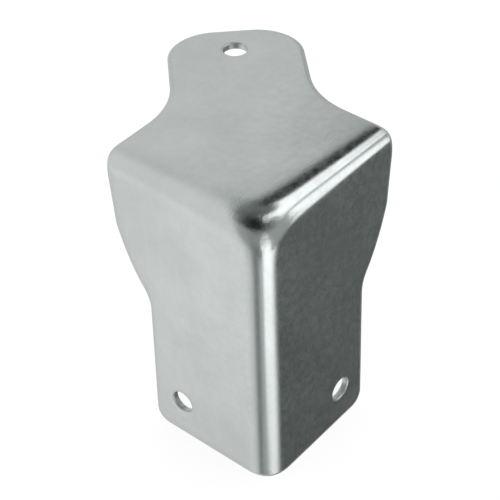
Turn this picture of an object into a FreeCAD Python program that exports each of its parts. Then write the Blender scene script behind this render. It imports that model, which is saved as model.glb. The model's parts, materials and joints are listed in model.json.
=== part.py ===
import FreeCAD, Part
import math
import os

# Flight case corner: one steel pressing that wraps the corner of a case.
# Two walls run down the case's upright edge, and a top plate lies on its top corner.
# The three meet in folds that widen from the shoulders to a ball over the case's corner.
# Sizes are in millimetres. Reaches and drops are measured from the pressing's
# outer faces, as a rule laid on the finished corner would read them.
# The origin is the case's corner, where the three inner faces would meet.
# X and Y run along the case's top edges, and Z is up.

# Sheet, and the outer radii of its folds: even down the upright fold and round the ball,
# then tighter along the two top folds to the shoulders
sheet_thickness = 1.5
upright_fold_radius = 5.6
shoulder_fold_radius = 3.5

# Wall outline: broad shoulders, a wing, a bulged flank, a neck and a foot
overall_height = 68.2
shoulder_width = 40.0
wing_width = 39.1
wing_drop = 17.2
wing_round = 5.4
flank_bulge = 0.75
neck_width = 31.3
neck_drop = 33.2
neck_round = 8.0
foot_width = 32.2
foot_round = 3.2

# Top outline: flared shoulders, then a tab along the diagonal of the case's top
shoulder_flare = 0.6
tab_width = 29.3
tab_reach = 71.45
tab_root_round = 19.5
tab_end_round = 10.4

# Rivet holes: one low in each wall and one near the end of the tab
rivet_diameter = 4.8
rivet_clearance = 0.2
wall_hole_reach = 24.2
wall_hole_above_foot = 9.5
tab_hole_from_end = 8.2

# Sheared edges of the blank, broken all round
edge_break = 0.3

# How far a cutting solid runs past what it cuts
overrun = 5.0

# How close two points lie when they are the same point
same_point = 1e-5

hole_radius = rivet_diameter / 2 + rivet_clearance
up = FreeCAD.Vector(0, 0, 1)
to_back = FreeCAD.Vector(0, 1, 0)
mirror_normal = FreeCAD.Vector(1, 1, 0)


def wall_point(reach, drop):
    """Point in the front wall's outline, a reach from its upright fold and a drop from the top."""
    return FreeCAD.Vector(sheet_thickness - reach, 0, sheet_thickness - drop)


def diagonal_point(reach, aside):
    """Point on the top's inner face, reach along the diagonal and aside towards the right wall."""
    left = (reach - aside) / math.sqrt(2)
    right = (reach + aside) / math.sqrt(2)
    return FreeCAD.Vector(sheet_thickness - left, right - sheet_thickness, 0)


def mirrored(shape):
    """The same shape on the other side of the corner's diagonal plane."""
    return shape.mirror(FreeCAD.Vector(0, 0, 0), mirror_normal)


def folded_block(inset):
    """Solid corner, inset from the outer faces, its three edges rounded as the sheet folds over it."""
    width = shoulder_width - inset
    height = overall_height - inset
    face = sheet_thickness - inset
    corner = FreeCAD.Vector(face, -face, face)
    block = Part.makeBox(width, width, height, corner - FreeCAD.Vector(width, 0, height))
    folds = []
    for number, edge in enumerate(block.Edges, 1):
        ends = [vertex.Point for vertex in edge.Vertexes]
        if edge.Orientation == "Reversed":
            ends.reverse()
        if corner.isEqual(ends[0], same_point) or corner.isEqual(ends[1], same_point):
            upright = abs(ends[0].z - ends[1].z) > same_point
            far_radius = upright_fold_radius if upright else shoulder_fold_radius
            radii = [upright_fold_radius - inset, far_radius - inset]
            if corner.isEqual(ends[1], same_point):
                radii.reverse()
            folds.append((number, radii[0], radii[1]))
    document = FreeCAD.newDocument()
    sharp = document.addObject("Part::Feature")
    sharp.Shape = block
    rounded = document.addObject("Part::Fillet")
    rounded.Base = sharp
    rounded.Edges = folds
    document.recompute()
    return rounded.Shape.Solids[0]


def round_corners(prism, direction, corners):
    """Round the prism's edges that run along direction through the given corners."""
    for corner, radius in corners:
        edges = []
        for edge in prism.Edges:
            offsets = [(vertex.Point - corner).cross(direction).Length for vertex in edge.Vertexes]
            if max(offsets) < same_point:
                edges.append(edge)
        prism = prism.makeFillet(radius, edges)
    return prism


def wall_trim():
    """What trimming leaves, seen from the front and run through from front to back.

    The outline is straight past the folds, so that the taper starts on flat sheet.
    """
    far = tab_reach + overrun
    head = wall_point(far, upright_fold_radius)
    shoulder = wall_point(shoulder_width, upright_fold_radius)
    wing = wall_point(wing_width, wing_drop)
    neck = wall_point(neck_width, neck_drop)
    foot = wall_point(foot_width, overall_height)
    chord = neck - wing
    bulge_way = FreeCAD.Vector(-abs(chord.z), 0, -abs(chord.x)).normalize()
    bulge = (wing + neck) * 0.5 + bulge_way * flank_bulge
    outline = [
        Part.LineSegment(head, shoulder),
        Part.LineSegment(shoulder, wing),
        Part.Arc(wing, bulge, neck),
        Part.LineSegment(neck, foot),
        Part.LineSegment(foot, wall_point(-overrun, overall_height)),
        Part.LineSegment(wall_point(-overrun, overall_height), wall_point(-overrun, -overrun)),
        Part.LineSegment(wall_point(-overrun, -overrun), wall_point(far, -overrun)),
        Part.LineSegment(wall_point(far, -overrun), head),
    ]
    front = FreeCAD.Vector(0, -sheet_thickness - overrun, 0)
    face = Part.Face(Part.Wire([segment.toShape() for segment in outline]))
    face.translate(front)
    prism = face.extrude(to_back * (far + overrun))
    corners = [(wing, wing_round), (neck, neck_round), (foot, foot_round)]
    return round_corners(prism, to_back, corners)


def tab_plate():
    """Flat of the top from inside the folds out to the end of the tab."""
    half = tab_width / 2
    flared = shoulder_width + shoulder_flare
    root_reach = flared * math.sqrt(2) - half
    past_fold = upright_fold_radius - sheet_thickness
    fold_edge = FreeCAD.Vector(sheet_thickness - shoulder_width, past_fold, 0)
    left_side = [fold_edge, diagonal_point(root_reach, -half), diagonal_point(tab_reach, -half)]
    right_side = [FreeCAD.Vector(-point.y, -point.x, 0) for point in reversed(left_side)]
    outline = left_side + right_side
    plate = Part.Face(Part.makePolygon(outline + outline[:1])).extrude(up * sheet_thickness)
    corners = [
        (left_side[1], tab_root_round),
        (left_side[2], tab_end_round),
        (right_side[0], tab_end_round),
        (right_side[1], tab_root_round),
    ]
    return round_corners(plate, up, corners)


def rivet_holes():
    """The three round holes, as the punches that make them."""
    punch = sheet_thickness + 2 * overrun
    in_wall = wall_point(wall_hole_reach, overall_height - wall_hole_above_foot)
    front = Part.makeCylinder(hole_radius, punch, in_wall - to_back * (sheet_thickness + overrun), to_back)
    in_tab = diagonal_point(tab_reach - tab_hole_from_end, 0)
    top = Part.makeCylinder(hole_radius, punch, in_tab - up * overrun, up)
    return [front, mirrored(front), top]


def edges_broken(sheet):
    """Break every edge where the sheet's skins meet its sheared sides."""
    rim = []
    for face in sheet.Faces:
        across = [abs(edge.Length - sheet_thickness) < same_point for edge in face.Edges]
        if any(across):
            rim += [edge for edge, short in zip(face.Edges, across) if not short]
    return sheet.makeChamfer(edge_break, rim)


def case_corner():
    """The whole pressing: folded sheet with its tab, trimmed, deburred and pierced."""
    sheet = folded_block(0).cut(folded_block(sheet_thickness))
    blank = sheet.fuse(tab_plate()).removeSplitter()
    trim = wall_trim()
    trimmed = blank.common(trim).common(mirrored(trim))
    return edges_broken(trimmed).cut(rivet_holes())


os.makedirs("parts", exist_ok=True)
corner = case_corner()
corner.exportStep("parts/case_corner.step")
print("valid", corner.isValid(), "solids", len(corner.Solids), "faces", len(corner.Faces), "volume", corner.Volume)
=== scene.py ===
"""Flight case corner: one zinc plated steel pressing, dressed and lit for its picture.

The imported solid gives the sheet's thickness, its outer faces and its three rivet holes.
The pressing is meshed again on those, with the soft onset of its folds, the drawn ball
over the case's corner and the rolled rim that the press tool leaves.
"""

import json
import logging
import math
from dataclasses import dataclass, field
from enum import Enum

import bmesh
import bpy
import numpy as np
from mathutils import Matrix, Vector
from mathutils.geometry import delaunay_2d_cdt


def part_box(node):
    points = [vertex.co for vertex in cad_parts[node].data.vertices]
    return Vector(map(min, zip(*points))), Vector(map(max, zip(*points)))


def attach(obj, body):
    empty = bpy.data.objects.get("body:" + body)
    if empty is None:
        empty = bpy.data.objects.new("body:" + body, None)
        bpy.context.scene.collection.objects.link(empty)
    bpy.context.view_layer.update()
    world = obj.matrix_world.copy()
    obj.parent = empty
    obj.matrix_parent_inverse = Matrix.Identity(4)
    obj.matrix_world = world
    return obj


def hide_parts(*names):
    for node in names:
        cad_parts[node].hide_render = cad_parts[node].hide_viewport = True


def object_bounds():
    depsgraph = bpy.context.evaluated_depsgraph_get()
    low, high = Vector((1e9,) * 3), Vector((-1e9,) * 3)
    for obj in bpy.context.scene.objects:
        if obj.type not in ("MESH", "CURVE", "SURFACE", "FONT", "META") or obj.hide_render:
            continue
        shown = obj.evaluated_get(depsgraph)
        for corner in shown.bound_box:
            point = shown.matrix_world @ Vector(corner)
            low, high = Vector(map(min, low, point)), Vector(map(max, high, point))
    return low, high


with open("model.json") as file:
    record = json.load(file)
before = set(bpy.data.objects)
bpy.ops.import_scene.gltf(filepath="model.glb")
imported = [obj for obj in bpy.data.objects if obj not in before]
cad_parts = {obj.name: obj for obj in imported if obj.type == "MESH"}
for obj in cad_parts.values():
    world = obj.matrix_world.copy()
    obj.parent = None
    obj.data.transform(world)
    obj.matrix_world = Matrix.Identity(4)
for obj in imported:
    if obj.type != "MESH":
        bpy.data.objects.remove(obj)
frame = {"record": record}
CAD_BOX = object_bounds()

log = logging.getLogger("flight_case_corner")

MM = 0.001
NODE = "case_corner"

Colour = tuple[float, float, float]
WHITE: Colour = (1.0, 1.0, 1.0)

# One radian in degrees, and how far a fold has turned at its middle
RADIAN = math.degrees(1)
FOLD_MIDDLE = 45.0

# Sockets of a colour mix: its two colours and its result
MIX_FIRST, MIX_SECOND, MIX_RESULT = 6, 7, 2

# What a noise gives on average
NOISE_MIDDLE = 0.5

# Meshing, in millimetres: how near to a fold's middle counts as on it, how near two points
# are one, to how many digits the flats meet, and what keeps a sum from being zero
ON_FOLD = 1e-6
ONE_POINT = 1e-5
MEETING_DIGITS = 4
NEVER_ZERO = 1e-12

# What the triangulation gives: only the triangles inside the outline
ONLY_INSIDE = 1

# The power by which three distances make one run out from the corner
RUN_POWER = 4


class Wall(Enum):
    """The three flat sides of the pressing, each by the two distances that vary over it.

    A place on the pressing is three distances in from its outer faces: from the right
    wall's, from the front wall's and from the top's.
    """

    FRONT = (0, 2)
    RIGHT = (1, 2)
    TOP = (0, 1)


class Wire:
    """A shader socket that can be reckoned with, each sign adding its Math node."""

    def __init__(self, tree: bpy.types.NodeTree, socket: bpy.types.NodeSocket) -> None:
        """Wrap one output socket of a node tree."""
        self.tree = tree
        self.socket = socket

    def _math(self, operation: str, *terms: "Wire | float") -> "Wire":
        """Add a Math node on the given terms.

        Args:
            operation: The Math node's operation.
            terms: Wires or plain numbers, in the order of the node's inputs.

        Returns:
            The node's result.
        """
        node = self.tree.nodes.new("ShaderNodeMath")
        node.operation = operation
        for entry, term in zip(node.inputs, terms):
            if isinstance(term, Wire):
                self.tree.links.new(term.socket, entry)
            else:
                entry.default_value = term
        return Wire(self.tree, node.outputs[0])

    def __add__(self, other: "Wire | float") -> "Wire":
        """Sum of two values."""
        return self._math("ADD", self, other)

    __radd__ = __add__

    def __sub__(self, other: "Wire | float") -> "Wire":
        """Difference of two values."""
        return self._math("SUBTRACT", self, other)

    def __rsub__(self, other: float) -> "Wire":
        """Difference from a plain number."""
        return self._math("SUBTRACT", other, self)

    def __mul__(self, other: "Wire | float") -> "Wire":
        """Product of two values."""
        return self._math("MULTIPLY", self, other)

    __rmul__ = __mul__

    def __pow__(self, other: "Wire | float") -> "Wire":
        """This value to a power."""
        return self._math("POWER", self, other)

    def larger(self, other: "Wire | float") -> "Wire":
        """The larger of two values."""
        return self._math("MAXIMUM", self, other)

    def smaller(self, other: "Wire | float") -> "Wire":
        """The smaller of two values."""
        return self._math("MINIMUM", self, other)

    def size(self) -> "Wire":
        """This value without its sign."""
        return self._math("ABSOLUTE", self)

    def arc_sine(self) -> "Wire":
        """Angle in degrees with this sine."""
        return self._math("ARCSINE", self) * RADIAN

    def angle(self, ahead: "Wire") -> "Wire":
        """Angle in degrees of a way whose sideways part this is."""
        return self._math("ARCTAN2", self, ahead) * RADIAN


def eased(share: "Wire | np.ndarray") -> "Wire | np.ndarray":
    """A share from 0 to 1 with a soft start and a soft end."""
    return share * share * (3.0 - 2.0 * share)


class Shading:
    """The node tree of one material, with one method that adds any node."""

    def __init__(self, name: str) -> None:
        """Start an empty material.

        Args:
            name: The material's name.
        """
        self.material = bpy.data.materials.new(name)
        self.material.use_nodes = True
        self.tree = self.material.node_tree
        self.tree.nodes.clear()

    def node(self, kind: str, settings: dict | None = None, **values: object) -> bpy.types.Node:
        """Add a node, its settings first and then its sockets.

        Args:
            kind: The node's type name.
            settings: Properties of the node, such as its operation.
            values: Socket values or links by socket name, with spaces as underscores.

        Returns:
            The new node.
        """
        node = self.tree.nodes.new(kind)
        for name, setting in (settings or {}).items():
            setattr(node, name, setting)
        for name, value in values.items():
            entry = node.inputs[name.replace("_", " ")]
            if isinstance(value, Wire):
                self.tree.links.new(value.socket, entry)
            elif isinstance(value, bpy.types.NodeSocket):
                self.tree.links.new(value, entry)
            else:
                entry.default_value = value
        return node

    def wire(self, node: bpy.types.Node, output: str | int = 0) -> Wire:
        """One output of a node, ready to reckon with."""
        return Wire(self.tree, node.outputs[output])

    def dot(self, vector: bpy.types.NodeSocket, along: Vector) -> Wire:
        """Add the part of a vector that lies along a fixed way.

        Args:
            vector: The vector.
            along: Unit vector of the way.

        Returns:
            The length of that part.
        """
        node = self.node("ShaderNodeVectorMath", {"operation": "DOT_PRODUCT"}, Vector=vector)
        node.inputs[1].default_value = along
        return self.wire(node, "Value")

    def blend(self, factor: Wire, first: Colour, second: Colour) -> bpy.types.NodeSocket:
        """Add a mix of two colours.

        Args:
            factor: 0 for the first colour and 1 for the second.
            first: The first colour.
            second: The second colour.

        Returns:
            The mixed colour.
        """
        mix = self.node("ShaderNodeMix", {"data_type": "RGBA"}, Factor=factor)
        mix.inputs[MIX_FIRST].default_value = (*first, 1.0)
        mix.inputs[MIX_SECOND].default_value = (*second, 1.0)
        return mix.outputs[MIX_RESULT]

    def finish(self, shader: bpy.types.NodeSocket) -> bpy.types.Material:
        """Send a shader to the material's surface and hand the material over."""
        self.node("ShaderNodeOutputMaterial", Surface=shader)
        return self.material


@dataclass(frozen=True)
class Noise:
    """One unevenness of the plating: its pitch in metres and how much finer detail it has."""

    pitch: float
    detail: float


@dataclass(frozen=True)
class ZincPlate:
    """Bright zinc plating on drawn sheet: satin, with an uneven bloom and faint draw marks.

    Bloom is the share of the surface that is dull and pale instead of metallic. Reliefs are
    in parts of the grain's height. The lines' spread is a power of how drawn the sheet is,
    and below 1 it takes them out past the ball.
    """

    colour: Colour = (0.558, 0.585, 0.581)
    dull_colour: Colour = (0.488, 0.515, 0.513)
    cloud: Noise = Noise(11 * MM, 2.0)
    mottle: Noise = Noise(1.7 * MM, 3.0)
    grain: Noise = Noise(0.4 * MM, 2.0)
    peel: Noise = Noise(0.22 * MM, 1.0)
    streak: Noise = Noise(1.1 * MM, 2.0)
    line: Noise = Noise(0.5 * MM, 1.0)
    streak_length: float = 18 * MM
    roughness: float = 0.19
    mottle_roughness: float = 0.12
    sheared_roughness: float = 0.2
    drawn_polish: float = 0.03
    bloom: float = 0.05
    cloud_bloom: float = 0.1
    mottle_bloom: float = 0.13
    streak_bloom: float = 0.04
    grain_bloom: float = 0.22
    sheared_bloom: float = 0.1
    drawn_grain_bloom: float = 0.03
    drawn_burnish: float = 0.035
    fold_burnish: float = 0.04
    least_bloom: float = 0.01
    dullness: float = 0.5
    cloud_dullness: float = 1.1
    streak_dullness: float = 0.3
    mottle_dullness: float = 0.25
    grain_height: float = 0.012 * MM
    grain_relief: float = 0.7
    drawn_grain_relief: float = 1.2
    peel_relief: float = 2.4
    line_relief: float = 0.9
    line_spread: float = 0.5
    streak_relief: float = 0.5

    def material(self) -> bpy.types.Material:
        """Build the plating's material.

        Returns:
            The finished material.
        """
        shading = Shading("zinc_plate")
        place = shading.node("ShaderNodeTexCoord").outputs["Object"]
        drawn_out = self._drawn_out(shading, place)
        cloud = self._noise(shading, place, self.cloud)
        mottle = self._noise(shading, place, self.mottle)
        grain = self._noise(shading, place, self.grain)
        peel = self._noise(shading, place, self.peel)
        streak = self._noise(shading, drawn_out, self.streak)
        line = self._noise(shading, drawn_out, self.line)
        sheared = self._mask(shading, "sheared")
        drawn = self._mask(shading, "drawn")
        bloom = (
            self.bloom
            + cloud * self.cloud_bloom
            + mottle * self.mottle_bloom
            + streak * self.streak_bloom
            + grain * self.grain_bloom
            + sheared * self.sheared_bloom
            + grain * drawn * self.drawn_grain_bloom
            - drawn * self.drawn_burnish
            - self._bend(shading) * self.fold_burnish
        )
        roughness = (
            self.roughness
            + (mottle + cloud) * self.mottle_roughness
            + sheared * self.sheared_roughness
            - drawn * self.drawn_polish
        )
        dull = (
            self.dullness
            + cloud * self.cloud_dullness
            + streak * self.streak_dullness
            + mottle * self.mottle_dullness
        )
        height = (
            grain * (self.grain_relief + drawn * self.drawn_grain_relief)
            + peel * drawn * self.peel_relief
            + line * drawn**self.line_spread * self.line_relief
            + streak * self.streak_relief
        )
        relief = shading.node(
            "ShaderNodeBump", Strength=1.0, Distance=self.grain_height, Height=height
        )
        plate = shading.node(
            "ShaderNodeBsdfPrincipled",
            Base_Color=shading.blend(dull, self.colour, self.dull_colour),
            Metallic=1.0 - bloom.larger(self.least_bloom),
            Roughness=roughness,
            Normal=relief.outputs[0],
        )
        return shading.finish(plate.outputs[0])

    def _mask(self, shading: Shading, name: str) -> Wire:
        """Where on the pressing one kind of wear lies, from 0 to 1."""
        return shading.wire(shading.node("ShaderNodeAttribute", {"attribute_name": name}), "Fac")

    def _noise(self, shading: Shading, place: bpy.types.NodeSocket, noise: Noise) -> Wire:
        """Add one noise over the pressing, even about zero.

        Args:
            shading: The plating's material.
            place: Where on the pressing.
            noise: Which noise.

        Returns:
            The noise's value.
        """
        scale = 1 / noise.pitch
        node = shading.node("ShaderNodeTexNoise", Vector=place, Scale=scale, Detail=noise.detail)
        return shading.wire(node) - NOISE_MIDDLE

    def _drawn_out(self, shading: Shading, place: bpy.types.NodeSocket) -> bpy.types.NodeSocket:
        """Squeeze places along the way the walls were drawn, so that noise runs in streaks.

        Args:
            shading: The plating's material.
            place: Where on the pressing.

        Returns:
            The squeezed places.
        """
        squeeze = shading.node("ShaderNodeVectorMath", {"operation": "MULTIPLY"}, Vector=place)
        squeeze.inputs[1].default_value = (1.0, 1.0, self.streak.pitch / self.streak_length)
        return squeeze.outputs[0]

    def _bend(self, shading: Shading) -> Wire:
        """Add how far the sheet is bent out of its three flats.

        Args:
            shading: The plating's material.

        Returns:
            0 on a flat and 1 at a fold's middle.
        """
        normal = shading.node("ShaderNodeTexCoord").outputs["Normal"]
        split = shading.node("ShaderNodeSeparateXYZ", Vector=normal)
        x, y, z = (shading.wire(split, axis).size() for axis in ("X", "Y", "Z"))
        at_middle = 1 - math.cos(math.radians(FOLD_MIDDLE))
        return (1.0 - x.larger(y).larger(z)) * (1 / at_middle)


def direction(azimuth: float, elevation: float) -> Vector:
    """Unit vector by azimuth, from the front towards the right, and height over the level.

    Args:
        azimuth: Degrees, 0 to the front and 90 to the right.
        elevation: Degrees over the level.

    Returns:
        The unit vector.
    """
    turn = math.radians(azimuth)
    rise = math.radians(elevation)
    along = math.cos(rise)
    return Vector((math.sin(turn) * along, -math.cos(turn) * along, math.sin(rise)))


@dataclass
class Outline:
    """A trimmed edge in a flat of the sheet, as points about one pitch apart, in millimetres.

    A point nearer to the last one than the closest share of a pitch is left out.
    """

    pitch: float
    points: list[np.ndarray]
    closest: float = 0.1

    def _add(self, points: np.ndarray) -> None:
        """Add points, leaving out any that lies on the one before it.

        Args:
            points: The points, in order.
        """
        for point in points:
            if np.linalg.norm(self.points[-1] - point) > self.pitch * self.closest:
                self.points.append(point)

    def line(self, end: np.ndarray) -> None:
        """Run straight from the last point.

        Args:
            end: Where it ends.
        """
        start = self.points[-1]
        count = max(1, math.ceil(np.linalg.norm(end - start) / self.pitch))
        shares = np.linspace(0.0, 1.0, count + 1)[:, None]
        self._add(start + (end - start) * shares)

    def corner(self, before: np.ndarray, at: np.ndarray, after: np.ndarray, radius: float) -> None:
        """Run straight up to a corner, then round it.

        Args:
            before: A place on the run into the corner.
            at: The sharp corner.
            after: A place on the run out of it.
            radius: The radius that rounds it.
        """
        back = (before - at) / np.linalg.norm(before - at)
        ahead = (after - at) / np.linalg.norm(after - at)
        half = math.acos(float(back @ ahead)) / 2
        centre = at + (back + ahead) / np.linalg.norm(back + ahead) * radius / math.sin(half)
        first = at + back * radius / math.tan(half)
        self.line(first)
        turn = math.pi - 2 * half
        count = max(2, math.ceil(turn * radius / self.pitch))
        angles = np.linspace(0.0, turn, count + 1)[:, None]
        self._add(centre + (first - centre) * np.cos(angles) - back * radius * np.sin(angles))

    def bow(self, start_way: np.ndarray, end: np.ndarray, end_way: np.ndarray) -> None:
        """Run in a gentle bow from the last point.

        Args:
            start_way: Unit vector of the way that it starts.
            end: Where it ends.
            end_way: Unit vector of the way that it ends.
        """
        start = self.points[-1]
        length = np.linalg.norm(end - start)
        handle = length / 3
        share = np.linspace(0.0, 1.0, math.ceil(length / self.pitch) + 1)[:, None]
        rest = 1 - share
        leaving = start + start_way * handle
        coming = end - end_way * handle
        self._add(
            rest**3 * start
            + 3 * rest**2 * share * leaving
            + 3 * rest * share**2 * coming
            + share**3 * end
        )

    def inset(self, distance: float) -> np.ndarray:
        """The outline moved in, square to itself, to the side of the fold corner.

        Args:
            distance: How far it moves.

        Returns:
            The moved points.
        """
        points = np.array(self.points)
        ahead = np.gradient(points, axis=0)
        ahead /= np.linalg.norm(ahead, axis=1, keepdims=True)
        square = np.stack([-ahead[:, 1], ahead[:, 0]], axis=1)
        return points + square * distance * np.sign(np.cross(points[:-1], points[1:]).sum())


@dataclass
class Skin:
    """The sheet's outer face: points in millimetres, and triangles turned outwards.

    Drawn says how much of each point is the drawn ball, from 0 to 1.
    """

    points: np.ndarray
    triangles: np.ndarray
    drawn: np.ndarray

    def normals(self) -> np.ndarray:
        """Find the way that the skin faces.

        Returns:
            Unit normals at the points.
        """
        first, second, third = (self.points[self.triangles[:, corner]] for corner in range(3))
        square = np.cross(second - first, third - first)
        sums = np.zeros_like(self.points)
        for corner in range(3):
            np.add.at(sums, self.triangles[:, corner], square)
        return sums / np.linalg.norm(sums, axis=1, keepdims=True)

    def rims(self) -> list[np.ndarray]:
        """Find the open edges.

        Returns:
            Each edge as a ring of point numbers, with the sheet on its left.
        """
        sides = np.vstack([self.triangles[:, pair] for pair in ([0, 1], [1, 2], [2, 0])])
        known = {tuple(side) for side in sides.tolist()}
        after = {start: end for start, end in known if (end, start) not in known}
        rings = []
        while after:
            ring = [next(iter(after))]
            while ring[-1] in after:
                ring.append(after.pop(ring[-1]))
            rings.append(np.array(ring[:-1]))
        return rings


@dataclass
class Pressing:
    """The whole fitting: folds, drawn ball, trimmed outline, punched holes and rolled rim.

    Sizes are in millimetres, as reaches and drops from the sheet's outer faces. Those from
    flat_pitch on are for the mesh: how finely it is divided, how much room its points keep
    from the rims, and how far past the folds its rows even out. A rim is a hole's when it is
    shorter than longest_hole_rim times the way round the bore.
    """

    upright_fold_radius: float = 5.6
    shoulder_fold_radius: float = 3.5
    shoulder_width: float = 40.0
    wing_width: float = 39.1
    wing_drop: float = 17.2
    wing_round: float = 5.4
    flank_bulge: float = 0.75
    neck_width: float = 31.3
    neck_drop: float = 33.2
    neck_round: float = 8.0
    foot_width: float = 32.2
    foot_round: float = 3.2
    shoulder_flare: float = 0.6
    tab_width: float = 29.3
    tab_reach: float = 71.45
    tab_root_round: float = 19.5
    tab_end_round: float = 10.4
    roll_width: float = 1.0
    roll_depth: float = 0.36
    hole_roll_width: float = 0.45
    hole_roll_depth: float = 0.28
    burr_round: float = 0.15
    upright_fullness: float = 2.7
    top_fullness: float = 4.2
    ball_radius: float = 7.1
    ball_fullness: float = 3.4
    ball_spread: float = 7.5
    ball_edge: float = 3.0
    wave_height: float = 0.02
    wave_lengths: tuple[tuple[float, float, float], ...] = (
        (31.0, 43.0, 27.0),
        (-19.0, 23.0, 37.0),
        (53.0, -29.0, 17.0),
    )
    flat_pitch: float = 1.4
    rim_pitch: float = 0.5
    rim_room: float = 0.35
    fold_end_room: float = 0.25
    evening_reach: float = 28.4
    fold_step: float = 3.0
    hole_points: int = 48
    longest_hole_rim: float = 2.0
    lip_steps: int = 6
    burr_steps: int = 3
    finish: ZincPlate = field(default_factory=ZincPlate)

    def __post_init__(self) -> None:
        """Take the sheet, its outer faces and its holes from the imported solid."""
        low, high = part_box(NODE)
        self.outer = np.array([high.x, low.y, high.z]) / MM
        self.inward = np.array([-1.0, 1.0, -1.0])
        self.overall_height = (high.z - low.z) / MM
        mounts = {mount["name"]: mount for mount in frame["record"]["mounts"]}
        bore = mounts["tab_rivet_hole"]["dims"]
        self.thickness = bore["length_mm"]
        self.hole_radius = bore["r_mm"]
        self.holes = {
            Wall.FRONT: self._place(mounts["front_rivet_hole"]["pos_m"], Wall.FRONT),
            Wall.RIGHT: self._place(mounts["right_rivet_hole"]["pos_m"], Wall.RIGHT),
            Wall.TOP: self._place(mounts["tab_rivet_hole"]["pos_m"], Wall.TOP),
        }
        self.fold_width = self.upright_fold_radius * self._breadth(self.upright_fullness)

    def _breadth(self, fullness: float | np.ndarray) -> float | np.ndarray:
        """Width of a fold over that of the plain round fold whose middle it shares."""
        return (math.sqrt(2) - 1) / (math.sqrt(2) * (1 - 2 ** (-1 / fullness)))

    def _place(self, position: list[float], wall: Wall) -> np.ndarray:
        """A position in metres as the two distances that vary over a wall."""
        return ((np.array(position) / MM - self.outer) * self.inward)[list(wall.value)]

    def _spread(self, wall: Wall, flat: np.ndarray) -> np.ndarray:
        """Give places on a flat their third distance, which is 0.

        Args:
            wall: Which flat.
            flat: Rows of two distances.

        Returns:
            Rows of three distances.
        """
        places = np.zeros((len(flat), 3))
        places[:, list(wall.value)] = flat
        return places

    def build(self) -> bpy.types.Object:
        """Mesh the pressing, dress it and hang it on the frame.

        Returns:
            The finished piece.
        """
        outer = self._outer_skin()
        square = outer.normals()
        inner = outer.points - square * self.thickness
        points = [outer.points, inner]
        count = len(outer.points)
        faces = outer.triangles.tolist() + (outer.triangles[:, ::-1] + count).tolist()
        sheared = [np.zeros(2 * count)]
        for ring in outer.rims():
            first = sum(map(len, points))
            rows, quads = self._rim(outer.points[ring], square[ring], ring, 2 * count, first)
            points.append(rows)
            faces += quads
            sheared.append(np.ones(len(rows)))
        mesh = bpy.data.meshes.new("corner_pressing")
        places = np.clip(np.vstack(points) * MM, *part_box(NODE))
        mesh.from_pydata(places.tolist(), [], faces)
        mesh.validate()
        mesh.shade_smooth()
        drawn = np.zeros(len(places))
        drawn[: 2 * count] = np.tile(outer.drawn, 2)
        for name, values in (("sheared", np.concatenate(sheared)), ("drawn", drawn)):
            mask = mesh.attributes.new(name, "FLOAT", "POINT")
            mask.data.foreach_set("value", values.astype(np.float32))
        mesh.materials.append(self.finish.material())
        piece = bpy.data.objects.new("corner_pressing", mesh)
        bpy.context.scene.collection.objects.link(piece)
        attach(piece, "root")
        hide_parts(NODE)
        return piece

    def _rim(
        self, edge: np.ndarray, square: np.ndarray, ring: np.ndarray, skins: int, first: int
    ) -> tuple[np.ndarray, list[tuple[int, ...]]]:
        """Close one open edge with a rolled lip, a sheared side and a second lip.

        Args:
            edge: The outer skin's points round the edge.
            square: Their normals.
            ring: Their numbers.
            skins: How many points the two skins have together.
            first: The number that the first new point gets.

        Returns:
            The new points, row by row, and the faces that join them to both skins.
        """
        ahead = np.roll(edge, -1, axis=0) - np.roll(edge, 1, axis=0)
        outward = np.cross(ahead, square)
        outward /= np.linalg.norm(outward, axis=1, keepdims=True)
        length = np.linalg.norm(np.roll(edge, -1, axis=0) - edge, axis=1).sum()
        round_bore = 2 * math.pi * self.hole_radius
        is_hole = length < round_bore * self.longest_hole_rim
        width = self.hole_roll_width if is_hole else self.roll_width
        depth = self.hole_roll_depth if is_hole else self.roll_depth
        burr = self.burr_round
        # How far out and how far down each row lies: the rolled lip, then the sheared side
        steps = []
        for bend in np.radians(np.linspace(0.0, 90.0, self.lip_steps + 1))[1:]:
            steps.append((width * math.sin(bend), depth * (1 - math.cos(bend))))
        for bend in np.radians(np.linspace(0.0, 90.0, self.burr_steps + 1)):
            reach = width - burr * (1 - math.cos(bend))
            steps.append((reach, self.thickness - burr * (1 - math.sin(bend))))
        rows = [edge + outward * away - square * down for away, down in steps]
        count = len(ring)
        numbers = [ring] + [first + row * count + np.arange(count) for row in range(len(rows))]
        numbers.append(ring + skins // 2)
        faces = []
        for upper, lower in zip(numbers[:-1], numbers[1:]):
            quads = [np.roll(upper, -1), upper, lower, np.roll(lower, -1)]
            faces += np.stack(quads, axis=1).tolist()
        return np.vstack(rows), faces

    def _outer_skin(self) -> Skin:
        """Mesh the sheet's outer face over all three flats and join them at the folds.

        Returns:
            The joined skin.
        """
        places = []
        triangles = []
        for wall in Wall:
            flat, faces = self._flat(wall)
            triangles.append(faces + sum(map(len, places)))
            places.append(self._spread(wall, flat))
        near = np.round(np.vstack(places), MEETING_DIGITS)
        merged, numbers = np.unique(near, axis=0, return_inverse=True)
        joined = numbers.reshape(-1)[np.vstack(triangles)]
        points = self.outer + self.inward * self.rounded(merged)
        skin = Skin(points, joined, self.fold_shape(merged)[2])
        skin.points = points - skin.normals() * self._waves(points)[:, None]
        return skin

    def _waves(self, points: np.ndarray) -> np.ndarray:
        """Find how far the rolled sheet dips below true flat.

        Args:
            points: Rows of x, y and z.

        Returns:
            The dip at each point.
        """
        total = sum(
            np.sin(points @ (2 * math.pi / np.array(lengths))) for lengths in self.wave_lengths
        )
        return self.wave_height * (1 + total / len(self.wave_lengths)) / 2

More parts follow.
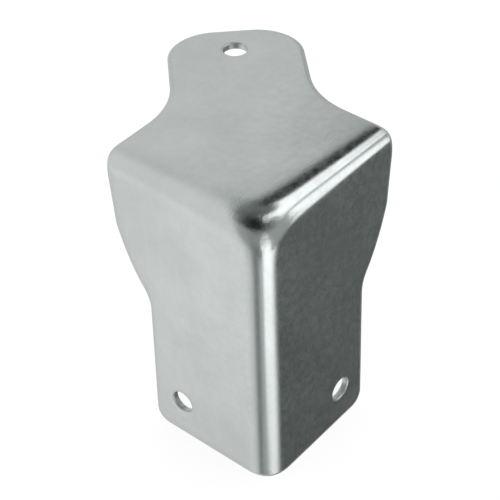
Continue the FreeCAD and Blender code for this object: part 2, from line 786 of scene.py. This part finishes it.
    def _flat(self, wall: Wall) -> tuple[np.ndarray, np.ndarray]:
        """Mesh one flat up to the middles of its folds, inside its trimmed edge.

        Args:
            wall: Which flat.

        Returns:
            Points as two distances in millimetres, and triangles turned outwards.
        """
        trimmed = self._top_outline() if wall is Wall.TOP else self._wall_outline()
        outline = trimmed.inset(self.roll_width)
        rows = self._rows(wall)
        first_edge = self._edge_points(wall, rows, 1, outline)
        second_edge = self._edge_points(wall, rows, 0, outline)
        # Out along one fold, round the trimmed edge and back along the other fold
        if wall is Wall.TOP:
            loop = np.vstack([[[0.0, 0.0]], second_edge, outline, first_edge[::-1]])
        else:
            loop = np.vstack([[[0.0, 0.0]], first_edge, outline, second_edge[::-1]])
        hole_rim = self.hole_radius + self.hole_roll_width
        turns = np.linspace(0, 2 * math.pi, self.hole_points, endpoint=False)
        ring = self.holes[wall] + hole_rim * np.stack([np.cos(turns), np.sin(turns)], axis=1)
        grid = self._warped(wall, np.stack(np.meshgrid(rows, rows), axis=-1).reshape(-1, 2))
        grid = grid[(grid > 0).all(axis=1)]
        grid = grid[self._inside(grid, loop)]
        room = self._gap(grid, np.vstack([outline, ring]))
        grid = grid[room > self.rim_room]
        from_hole = np.linalg.norm(grid - self.holes[wall], axis=1)
        grid = grid[from_hole > hole_rim]
        return self._triangulated(loop, ring, grid, wall)

    def _triangulated(
        self, loop: np.ndarray, ring: np.ndarray, grid: np.ndarray, wall: Wall
    ) -> tuple[np.ndarray, np.ndarray]:
        """Join an outline, a hole and the points between them into triangles.

        Args:
            loop: The outline.
            ring: The hole's rim.
            grid: Points between them.
            wall: Which flat they lie in.

        Returns:
            Points and triangles.
        """
        places = [Vector(point) for point in np.vstack([loop, ring, grid]).tolist()]
        outer = [(step, (step + 1) % len(loop)) for step in range(len(loop))]
        start = len(loop)
        inner = [(start + step, start + (step + 1) % len(ring)) for step in range(len(ring))]
        made = delaunay_2d_cdt(places, outer + inner, [], ONLY_INSIDE, ONE_POINT)
        points = np.array([tuple(point) for point in made[0]])
        faces = np.array(made[2])
        middles = points[faces].mean(axis=1)
        faces = faces[self._inside(middles, loop) & ~self._inside(middles, ring)]
        if wall is not Wall.FRONT:
            faces = faces[:, ::-1]
        return points, faces

    def _rows(self, wall: Wall) -> np.ndarray:
        """Place the mesh's rows: close in the fold, then even.

        Args:
            wall: Which flat.

        Returns:
            The rows' distances from the fold's middle.
        """
        bends = np.radians(np.arange(FOLD_MIDDLE, 0.0, -self.fold_step))
        size = self.fold_width
        close = size * (1 - np.tan(bends) ** (1 / (self.upright_fullness - 1)))
        reach = self.overall_height if wall is not Wall.TOP else self.tab_reach
        even = np.arange(size, reach, self.flat_pitch)
        return np.concatenate([close, even])

    def _warped(self, wall: Wall, places: np.ndarray) -> np.ndarray:
        """Stretch even rows to where the folds and the ball are wider or narrower.

        Args:
            wall: Which flat.
            places: Rows of two distances.

        Returns:
            The stretched places.
        """
        usual = self.fold_width
        size = self.fold_shape(self._spread(wall, places))[0][:, None]
        past = np.clip(1 - (places - usual) / self.evening_reach, 0.0, 1.0)
        return np.where(places < usual, places * size / usual, places + (size - usual) * past)

    def _edge_points(
        self, wall: Wall, rows: np.ndarray, axis: int, outline: np.ndarray
    ) -> np.ndarray:
        """Place points along the middle of a fold, from beside the ball to the trimmed edge.

        Args:
            wall: Which flat.
            rows: Distances of the mesh's rows.
            axis: Which of the flat's two distances varies along the fold.
            outline: The trimmed edge.

        Returns:
            Rows of two distances.
        """
        places = np.zeros((len(rows), 2))
        places[:, axis] = rows
        places = self._warped(wall, places)
        places[:, 1 - axis] = 0.0
        end = outline[:, axis][outline[:, 1 - axis] < ON_FOLD].max()
        reach = places[:, axis]
        return places[(reach > ON_FOLD) & (reach < end - self.fold_end_room)]

    def _inside(self, places: np.ndarray, loop: np.ndarray) -> np.ndarray:
        """Find which places lie inside a closed loop.

        Args:
            places: The places to try.
            loop: The loop's points, in order.

        Returns:
            True for each place inside.
        """
        x, y = places[:, 0][:, None], places[:, 1][:, None]
        start, end = loop, np.roll(loop, -1, axis=0)
        crosses = (start[:, 1] > y) != (end[:, 1] > y)
        rise = np.where(end[:, 1] == start[:, 1], 1.0, end[:, 1] - start[:, 1])
        at = start[:, 0] + (y - start[:, 1]) * (end[:, 0] - start[:, 0]) / rise
        return (crosses & (x < at)).sum(axis=1) % 2 == 1

    def _gap(self, places: np.ndarray, points: np.ndarray) -> np.ndarray:
        """Distance from each place to the nearest of some points."""
        return np.sqrt(((places[:, None, :] - points[None, :, :]) ** 2).sum(axis=2)).min(axis=1)

    def fold_shape(self, places: np.ndarray) -> tuple[np.ndarray, np.ndarray, np.ndarray]:
        """Shape of the folds near the given places.

        The upright fold keeps its width, the top folds narrow to the shoulders, and all
        three swell into the ball. A fuller fold begins softly and turns tightly in its middle.

        Args:
            places: Rows of three distances in from the outer faces.

        Returns:
            How far from its sharp edge the fold begins, its fullness, and how much of it is
            the ball, from 0 to 1, each by place.
        """
        powers = places**RUN_POWER
        total = powers.sum(axis=1) + NEVER_ZERO
        run = total ** (1 / RUN_POWER)
        on_top = 1 - powers[:, 2] / total
        narrowed = eased(np.clip(run / self.shoulder_width, 0.0, 1.0)) * on_top
        narrowing = self.upright_fold_radius - self.shoulder_fold_radius
        radius = self.upright_fold_radius - narrowing * narrowed
        fullness = self.upright_fullness + (self.top_fullness - self.upright_fullness) * on_top
        ball = np.exp(-((run / self.ball_spread) ** self.ball_edge))
        radius = radius + (self.ball_radius - radius) * ball
        fullness = fullness + (self.ball_fullness - fullness) * ball
        return radius * self._breadth(fullness), fullness, ball

    def rounded(self, places: np.ndarray) -> np.ndarray:
        """Draw places on the sharp corner in to the rounded sheet.

        Args:
            places: Rows of three distances in from the outer faces, one of them 0.

        Returns:
            The same places on the folded sheet.
        """
        size, fullness, _ = self.fold_shape(places)
        short = np.maximum(size[:, None] - places, 0.0)
        reach = (short ** fullness[:, None]).sum(axis=1) ** (1 / fullness)
        return np.where(short > 0, size[:, None] - short * (size / reach)[:, None], places)

    def _wall_outline(self) -> Outline:
        """Trim a wall: its foot, neck, flank, wing and shoulder.

        Returns:
            The edge, as reaches and drops.
        """
        foot = np.array([self.foot_width, self.overall_height])
        neck = np.array([self.neck_width, self.neck_drop])
        wing = np.array([self.wing_width, self.wing_drop])
        shoulder = np.array([self.shoulder_width, self.upright_fold_radius])
        chord = wing - neck
        turn = 2 * math.atan(2 * self.flank_bulge / np.linalg.norm(chord))
        way = chord / np.linalg.norm(chord)
        square = np.array([-way[1], way[0]])
        leaving = way * math.cos(turn) + square * math.sin(turn)
        coming = way * math.cos(turn) - square * math.sin(turn)
        level = (shoulder - wing) / np.linalg.norm(shoulder - wing)
        half = math.acos(float(-coming @ level)) / 2
        touch = wing - coming * self.wing_round / math.tan(half)
        start = np.array([0.0, self.overall_height])
        outline = Outline(self.rim_pitch, [start])
        outline.corner(start, foot, neck, self.foot_round)
        outline.corner(foot, neck, neck + leaving, self.neck_round)
        outline.bow(leaving, touch, coming)
        outline.corner(wing - coming, wing, shoulder, self.wing_round)
        outline.line(shoulder)
        outline.line(np.array([self.shoulder_width, 0.0]))
        return outline

    def _top_outline(self) -> Outline:
        """Trim the top, from the front shoulder round the tab to the right one.

        Returns:
            The edge, as two reaches.
        """
        half = self.tab_width / 2
        flared = self.shoulder_width + self.shoulder_flare
        head = np.array([self.shoulder_width, 0.0])
        shoulder = np.array([self.shoulder_width, self.upright_fold_radius])
        root = np.array([flared, flared - math.sqrt(2) * half])
        end = np.array([self.tab_reach + half, self.tab_reach - half]) / math.sqrt(2)
        outline = Outline(self.rim_pitch, [head])
        outline.line(shoulder)
        outline.corner(shoulder, root, end, self.tab_root_round)
        outline.corner(root, end, end[::-1], self.tab_end_round)
        outline.corner(end, end[::-1], root[::-1], self.tab_end_round)
        outline.corner(end[::-1], root[::-1], shoulder[::-1], self.tab_root_round)
        outline.line(shoulder[::-1])
        outline.line(head[::-1])
        return outline


@dataclass
class Floor:
    """Plain pale floor that the pressing's feet stand on."""

    half_width: float = 3.0
    glow: float = 0.84
    paint: float = 0.2

    def build(self, level: float) -> bpy.types.Object:
        """Lay the floor.

        Args:
            level: Its height, in metres.

        Returns:
            The floor.
        """
        signs = ((-1, -1), (1, -1), (1, 1), (-1, 1))
        corners = [(self.half_width * x, self.half_width * y, level) for x, y in signs]
        mesh = bpy.data.meshes.new("floor")
        mesh.from_pydata(corners, [], [(0, 1, 2, 3)])
        shading = Shading("pale_floor")
        glow = shading.node("ShaderNodeEmission", Strength=self.glow)
        grey = (self.paint, self.paint, self.paint, 1.0)
        paint = shading.node("ShaderNodeBsdfDiffuse", Color=grey)
        both = shading.node("ShaderNodeAddShader")
        shading.tree.links.new(glow.outputs[0], both.inputs[0])
        shading.tree.links.new(paint.outputs[0], both.inputs[1])
        mesh.materials.append(shading.finish(both.outputs[0]))
        floor = bpy.data.objects.new("floor", mesh)
        bpy.context.scene.collection.objects.link(floor)
        floor.visible_glossy = False
        return floor


def soft_edge(angle: Wire, at: float, softness: float) -> Wire:
    """Fall smoothly from 1 to 0 where an angle passes an edge.

    Args:
        angle: The angle, in degrees.
        at: Where the middle of the edge lies.
        softness: How many degrees the fall takes.

    Returns:
        1 before the edge and 0 past it.
    """
    return eased(((at - angle) * (1 / softness) + 0.5).larger(0.0).smaller(1.0))


@dataclass(frozen=True)
class Panel:
    """A soft-edged screen, lamp or flag of the light tent, by the directions that it fills.

    Angles are in degrees as the pressing sees them, to the middle of each soft edge.
    """

    left: float
    right: float
    low: float
    high: float
    brightness: float
    side_softness: float = 12.0
    level_softness: float = 8.0

    def cover(self, shading: Shading, way: bpy.types.NodeSocket, height: Wire) -> Wire:
        """How much of the panel lies in each direction.

        Args:
            shading: The tent's material.
            way: Unit vector out from the pressing.
            height: Elevation in degrees.

        Returns:
            1 inside the panel and 0 past its soft edges.
        """
        middle = (self.left + self.right) / 2
        ahead = shading.dot(way, direction(middle, 0))
        aside = shading.dot(way, direction(middle + 90, 0))
        turn = aside.angle(ahead)
        across = soft_edge(turn.size(), (self.right - self.left) / 2, self.side_softness)
        top = soft_edge(height, self.high, self.level_softness)
        foot = soft_edge(height, self.low, self.level_softness)
        return across * top * (1.0 - foot)

    def over(
        self, shading: Shading, way: bpy.types.NodeSocket, height: Wire, glow: Wire | float
    ) -> Wire:
        """Put the panel over what is behind it.

        Args:
            shading: The tent's material.
            way: Unit vector out from the pressing.
            height: Elevation in degrees.
            glow: Glow behind the panel.

        Returns:
            Glow with the panel in front.
        """
        return glow + (self.brightness - glow) * self.cover(shading, way, height)


@dataclass(frozen=True)
class RoundScreen:
    """The large round screen at the left, lit unevenly by the lamps behind it.

    Angles are in degrees as the pressing sees them.
    """

    azimuth: float = -82.0
    elevation: float = -1.0
    reach: float = 67.3
    softness: float = 9.0
    brightness: float = 0.86
    parts: tuple[Panel, ...] = (
        # Brighter towards the front and duller towards the back
        Panel(-84, 10, -90, 90, 1.01, side_softness=84),
        Panel(-158, -130, -90, 90, 0.91, side_softness=20),
        Panel(-158, -128, -90, 31, 0.84, side_softness=20, level_softness=5),
        # Brightest low at the front, and duller low at the left
        Panel(-46, 0, -90, -22, 1.15, side_softness=12, level_softness=20),
        Panel(-110, -49, -90, -28, 0.86, side_softness=14, level_softness=10),
        Panel(-110, -28, -90, -47, 0.79, side_softness=16, level_softness=12),
    )

    def over(
        self, shading: Shading, way: bpy.types.NodeSocket, height: Wire, glow: Wire
    ) -> Wire:
        """Put the screen over what is behind it.

        Args:
            shading: The tent's material.
            way: Unit vector out from the pressing.
            height: Elevation in degrees.
            glow: Glow behind the screen.

        Returns:
            Glow with the screen in front.
        """
        middle = direction(self.azimuth, self.elevation)
        off_middle = 90.0 - shading.dot(way, middle).arc_sine()
        lit = self.brightness
        for part in self.parts:
            lit = part.over(shading, way, height, lit)
        return glow + (lit - glow) * soft_edge(off_middle, self.reach, self.softness)


@dataclass
class LightTent:
    """A tent of soft screens, lamps and flags that the plating reflects.

    It is seen in reflections only. Plain even light falls on the floor.
    """

    radius: float = 2.0
    roundness: int = 4
    cloth: float = 0.5
    room_brightness: float = 1.0
    shade_colour: Colour = (0.92, 1.0, 0.96)
    backdrops: tuple[Panel, ...] = (
        # Dark ceiling, darker over the front and the right
        Panel(-180, 180, 52, 120, 0.2, level_softness=12),
        Panel(-14, 80, 28, 120, 0.13, side_softness=30, level_softness=16),
        # Grey wall behind, with a black gap over it
        Panel(168, 270, -70, 36.5, 0.6, side_softness=10, level_softness=5),
        Panel(168, 215.5, 36.5, 72, 0.0, side_softness=8, level_softness=5),
        # Pale wall at the left and pale ground at the front
        Panel(-145, -90, -90, 38.6, 1.0, side_softness=6, level_softness=5),
        Panel(-60, -3, -90, -12, 1.02, side_softness=34, level_softness=20),
        # Grey between the front and the right
        Panel(8, 46, -30, 24, 0.42, side_softness=12, level_softness=10),
    )
    screen: RoundScreen = RoundScreen()
    panels: tuple[Panel, ...] = (
        # High lamps at the right and behind, the last one duller
        Panel(62, 110, 50, 66, 1.55, side_softness=16, level_softness=8),
        Panel(98, 187, 38.5, 65, 1.9, side_softness=14, level_softness=7),
        Panel(157, 190, 34, 48, 0.9, side_softness=8, level_softness=6),
        # Narrow upright lamp behind on the right, in two parts
        Panel(115, 134.5, 10, 32, 1.9, side_softness=8, level_softness=7),
        Panel(120, 137.5, -12, 14, 1.9, side_softness=9, level_softness=8),
        # Dark ground behind on the right
        Panel(92, 205, -120, -9, 0.155),
        Panel(92, 205, -120, -42, 0.115, level_softness=14),
        # Upright lamp between the front and the right, with its head and its broad foot
        Panel(25, 50, -43, -31, 0.8, side_softness=16, level_softness=10),
        Panel(46, 70, -30, 5, 2.0, side_softness=10, level_softness=10),
        Panel(48.5, 61, 2, 17, 1.5, side_softness=7, level_softness=6),
        Panel(44, 63, -44.5, -24, 1.9, side_softness=16),
        Panel(48, 87, -45, -17, 1.9, side_softness=28, level_softness=10),
        Panel(58, 98, -64, -42.5, 1.38, side_softness=30, level_softness=6),
        # Flags over that lamp and at its left
        Panel(5, 52, 27, 60, 0.01, side_softness=24, level_softness=14),
        Panel(4, 22, -120, -26, 0.3, side_softness=16, level_softness=14),
        Panel(12, 38, -28, -2, 0.28, side_softness=16, level_softness=12),
    )

    def build(self, middle: Vector) -> bpy.types.Object:
        """Set up the room's light and put the tent round the pressing.

        Args:
            middle: The tent's middle.

        Returns:
            The tent.
        """
        world = bpy.data.worlds.new("room")
        world.use_nodes = True
        room = world.node_tree.nodes["Background"]
        room.inputs["Strength"].default_value = self.room_brightness
        room.inputs["Color"].default_value = (*WHITE, 1.0)
        bpy.context.scene.world = world
        bpy.context.scene.view_settings.view_transform = "Standard"
        shape = bmesh.new()
        bmesh.ops.create_icosphere(shape, subdivisions=self.roundness, radius=self.radius)
        mesh = bpy.data.meshes.new("light_tent")
        shape.to_mesh(mesh)
        shape.free()
        mesh.materials.append(self._material())
        tent = bpy.data.objects.new("light_tent", mesh)
        tent.location = middle
        bpy.context.scene.collection.objects.link(tent)
        tent.visible_camera = False
        tent.visible_diffuse = False
        tent.visible_shadow = False
        tent.visible_transmission = False
        return tent

    def _material(self) -> bpy.types.Material:
        """Build the glow of the tent, with each panel over the ones before it.

        Returns:
            The tent's material.
        """
        shading = Shading("light_tent")
        place = shading.node("ShaderNodeTexCoord").outputs["Object"]
        outward = shading.node("ShaderNodeVectorMath", {"operation": "NORMALIZE"}, Vector=place)
        way = outward.outputs[0]
        height = shading.dot(way, Vector((0, 0, 1))).arc_sine()
        glow = self.cloth
        for panel in self.backdrops:
            glow = panel.over(shading, way, height, glow)
        glow = self.screen.over(shading, way, height, glow)
        for panel in self.panels:
            glow = panel.over(shading, way, height, glow)
        tint = shading.blend(glow, self.shade_colour, WHITE)
        scale = {"operation": "SCALE"}
        colour = shading.node("ShaderNodeVectorMath", scale, Vector=tint, Scale=glow)
        lamp = shading.node("ShaderNodeEmission", Color=colour.outputs[0], Strength=1.0)
        return shading.finish(lamp.outputs[0])


@dataclass
class PhotoCamera:
    """The camera of the photograph, by where it stands and where its aim falls in the picture."""

    aim: Vector = field(default_factory=lambda: Vector((-14.5, 14.5, -22.5)) * MM)
    azimuth: float = 40.854
    elevation: float = 39.182
    roll: float = -1.826
    distance: float = 265.575 * MM
    focal_pixels: float = 1314.537
    picture_width: float = 500.0
    aim_pixel: tuple[float, float] = (255.711, 255.021)
    sensor_width: float = 36.0
    near_share: float = 0.01
    far_share: float = 100.0

    def build(self) -> bpy.types.Object:
        """Set the camera up.

        Returns:
            The camera.
        """
        back = direction(self.azimuth, self.elevation)
        level = Vector((-back.y, back.x, 0.0)).normalized()
        upright = back.cross(level)
        roll = math.radians(self.roll)
        right = level * math.cos(roll) + upright * math.sin(roll)
        up = upright * math.cos(roll) - level * math.sin(roll)
        pixel = self.distance / self.focal_pixels
        aside = (self.aim_pixel[0] - self.picture_width / 2) * pixel
        above = (self.picture_width / 2 - self.aim_pixel[1]) * pixel
        place = self.aim + back * self.distance - right * aside - up * above
        data = bpy.data.cameras.new("photo_camera")
        data.sensor_width = self.sensor_width
        data.lens = self.focal_pixels / self.picture_width * self.sensor_width
        data.clip_start = self.distance * self.near_share
        data.clip_end = self.distance * self.far_share
        camera = bpy.data.objects.new("photo_camera", data)
        turn = Matrix((right, up, back)).transposed()
        camera.matrix_world = Matrix.Translation(place) @ turn.to_4x4()
        bpy.context.scene.collection.objects.link(camera)
        bpy.context.scene.camera = camera
        return camera


def main() -> None:
    """Build the pressing, its floor, its lights and its camera, and report each."""
    logging.basicConfig(level=logging.INFO, format="%(name)s: %(message)s")
    low, high = CAD_BOX
    piece = Pressing().build()
    log.info("%s: %d faces", piece.name, len(piece.data.polygons))
    floor = Floor().build(low.z)
    log.info("%s at %.1f mm", floor.name, low.z / MM)
    tent = LightTent().build((low + high) / 2)
    log.info("%s: %d panels", tent.name, len(LightTent.panels))
    camera = PhotoCamera().build()
    log.info("%s at %s", camera.name, tuple(round(value, 4) for value in camera.location))


if __name__ == "__main__":
    main()
